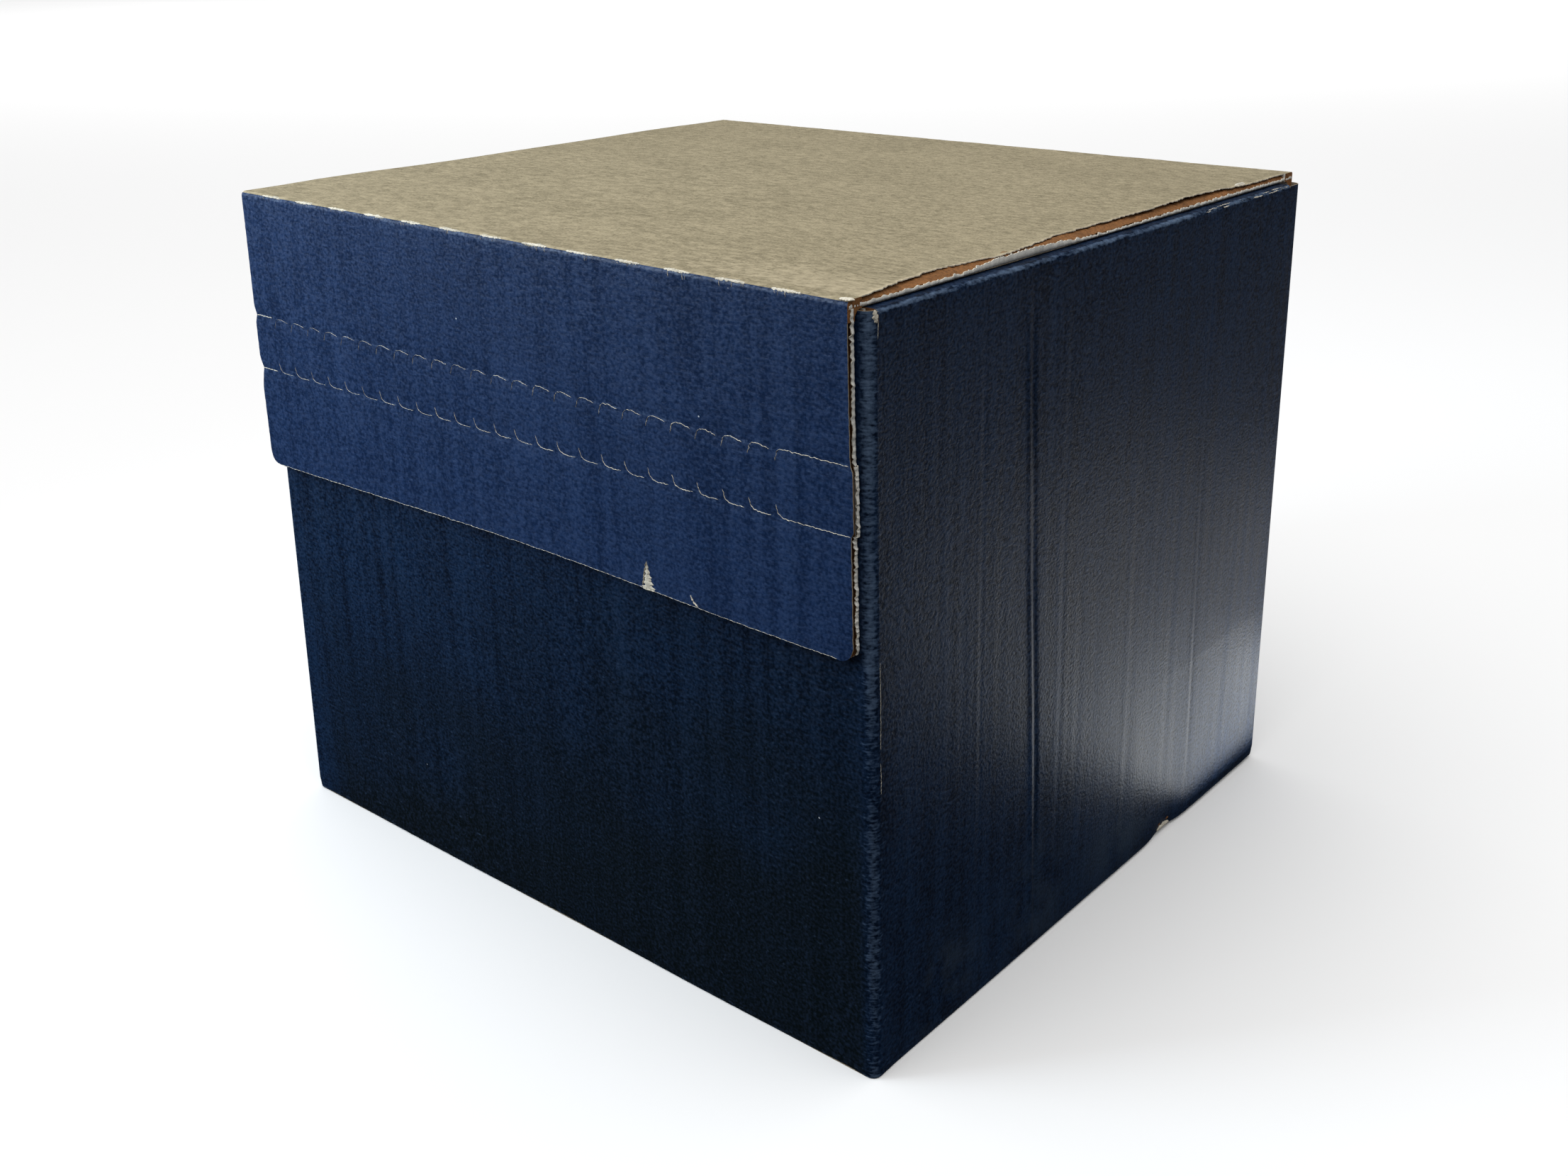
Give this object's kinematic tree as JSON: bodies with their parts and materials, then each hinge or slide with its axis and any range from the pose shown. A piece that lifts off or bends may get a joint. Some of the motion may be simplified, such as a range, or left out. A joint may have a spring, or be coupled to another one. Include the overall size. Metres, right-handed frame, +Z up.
{
  "type": "corrugated shipping box",
  "caption": "Fluted-board shipping box with a hinged lid, a glued front flap with a tear-off strip, dust flaps under the lid and a glued base.",
  "frame": {"origin": "centre of the bounding box at floor level, under the closed box", "axes": "+Z up, -Y towards the front wall that carries the tear strip, +X to the right as seen from the front"},
  "size_m": [0.2836, 0.26, 0.24],
  "materials": {
    "navy_printed_liner": "satin print on paper",
    "kraft_liner": "matte unprinted kraft",
    "white_inner_liner": "matte white paper",
    "brown_fluted_medium": "matte brown paper",
    "clear_hot_melt": "tacky adhesive film",
    "white_glue": "dried glue"
  },
  "bodies": {
    "box_body": {"back_wall_fluted_medium": "brown_fluted_medium", "back_wall_inner_liner": "white_inner_liner", "back_wall_outer_liner": "navy_printed_liner", "base_back_fluted_medium": "brown_fluted_medium", "base_back_inner_liner": "white_inner_liner", "base_back_outer_liner": "navy_printed_liner", "base_front_fluted_medium": "brown_fluted_medium", "base_front_inner_liner": "white_inner_liner", "base_front_outer_liner": "navy_printed_liner", "base_glue_patch_back_left": "white_glue", "base_glue_patch_back_right": "white_glue", "base_glue_patch_front_left": "white_glue", "base_glue_patch_front_right": "white_glue", "base_left_fluted_medium": "brown_fluted_medium", "base_left_inner_liner": "white_inner_liner", "base_left_outer_liner": "navy_printed_liner", "base_right_fluted_medium": "brown_fluted_medium", "base_right_inner_liner": "white_inner_liner", "base_right_outer_liner": "navy_printed_liner", "closure_adhesive_strip": "clear_hot_melt", "flap_closure_band_fluted_medium": "brown_fluted_medium", "flap_closure_band_inner_liner": "white_inner_liner", "flap_closure_band_outer_liner": "navy_printed_liner", "front_wall_fluted_medium": "brown_fluted_medium", "front_wall_inner_liner": "white_inner_liner", "front_wall_outer_liner": "navy_printed_liner", "left_wall_fluted_medium": "brown_fluted_medium", "left_wall_inner_liner": "white_inner_liner", "left_wall_outer_liner": "navy_printed_liner", "right_wall_fluted_medium": "brown_fluted_medium", "right_wall_inner_liner": "white_inner_liner", "right_wall_outer_liner": "navy_printed_liner", "seam_glue_line": "white_glue", "seam_tab_fluted_medium": "brown_fluted_medium", "seam_tab_inner_liner": "white_inner_liner", "seam_tab_outer_liner": "navy_printed_liner"},
    "lid": {"lid_fluted_medium": "brown_fluted_medium", "lid_inner_liner": "white_inner_liner", "lid_outer_liner": "kraft_liner"},
    "upper_band": {"flap_upper_band_fluted_medium": "brown_fluted_medium", "flap_upper_band_inner_liner": "white_inner_liner", "flap_upper_band_outer_liner": "navy_printed_liner"},
    "tear_strip": {"tear_strip_fluted_medium": "brown_fluted_medium", "tear_strip_inner_liner": "white_inner_liner", "tear_strip_outer_liner": "navy_printed_liner"},
    "right_dust_flap": {"right_dust_flap_fluted_medium": "brown_fluted_medium", "right_dust_flap_inner_liner": "white_inner_liner", "right_dust_flap_outer_liner": "navy_printed_liner"},
    "left_dust_flap": {"left_dust_flap_fluted_medium": "brown_fluted_medium", "left_dust_flap_inner_liner": "white_inner_liner", "left_dust_flap_outer_liner": "navy_printed_liner"}
  },
  "joints": [
    {"name": "lid_hinge", "type": "hinge", "parent": "box_body", "child": "lid", "pos_m": [0, 0.13, 0.24], "axis": [-1, 0, 0], "range_deg": [0, 200]},
    {"name": "upper_band_hinge", "type": "hinge", "parent": "lid", "child": "upper_band", "pos_m": [0, -0.13, 0.24], "axis": [-1, 0, 0], "range_deg": [0, 180]},
    {"name": "tear_strip_pull", "type": "slide", "parent": "box_body", "child": "tear_strip", "axis": [0, -1, 0], "range_m": [0, 0.06]},
    {"name": "right_dust_flap_hinge", "type": "hinge", "parent": "box_body", "child": "right_dust_flap", "pos_m": [0.1418, 0, 0.2367], "axis": [0, 1, 0], "range_deg": [0, 100]},
    {"name": "left_dust_flap_hinge", "type": "hinge", "parent": "box_body", "child": "left_dust_flap", "pos_m": [-0.1402, 0, 0.2367], "axis": [0, -1, 0], "range_deg": [0, 100]}
  ],
  "couplings": [
    {"joint": "right_dust_flap_hinge", "follows": "lid_hinge", "ratio": 0.5},
    {"joint": "left_dust_flap_hinge", "follows": "lid_hinge", "ratio": 0.5}
  ]
}
